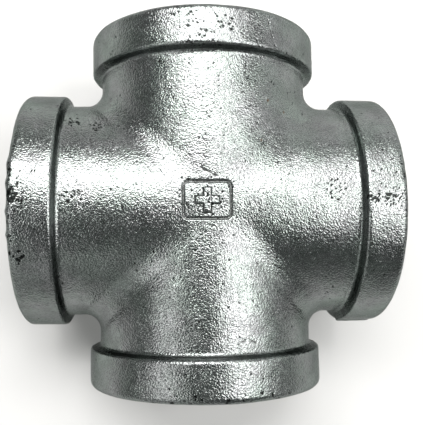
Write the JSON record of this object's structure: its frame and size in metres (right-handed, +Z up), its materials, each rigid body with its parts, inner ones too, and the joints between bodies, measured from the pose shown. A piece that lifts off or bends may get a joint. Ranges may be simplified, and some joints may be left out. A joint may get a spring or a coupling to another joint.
{
  "type": "pipe cross",
  "caption": "Banded equal pipe cross with taper-threaded ports at right angles in one plane, in hot-dip galvanised malleable iron.",
  "frame": {"origin": "the point where the port axes cross, which is the centre of the bounding box", "axes": "+X along the axis of port_east, +Y along the axis of port_north, +Z up when the fitting lies on its bands, out through the face that carries the cast mark"},
  "size_m": [0.1142, 0.1142, 0.0753],
  "materials": {
    "bare_iron": "freshly cut malleable iron on the threads and chamfers",
    "zinc": "hot-dip galvanised zinc over a gritty cast skin, dull grey with bright glints"
  },
  "bodies": {
    "root": {"iron_casting": "bare_iron", "zinc_jacket": "zinc", "zinc_lining": "zinc"}
  },
  "joints": []
}
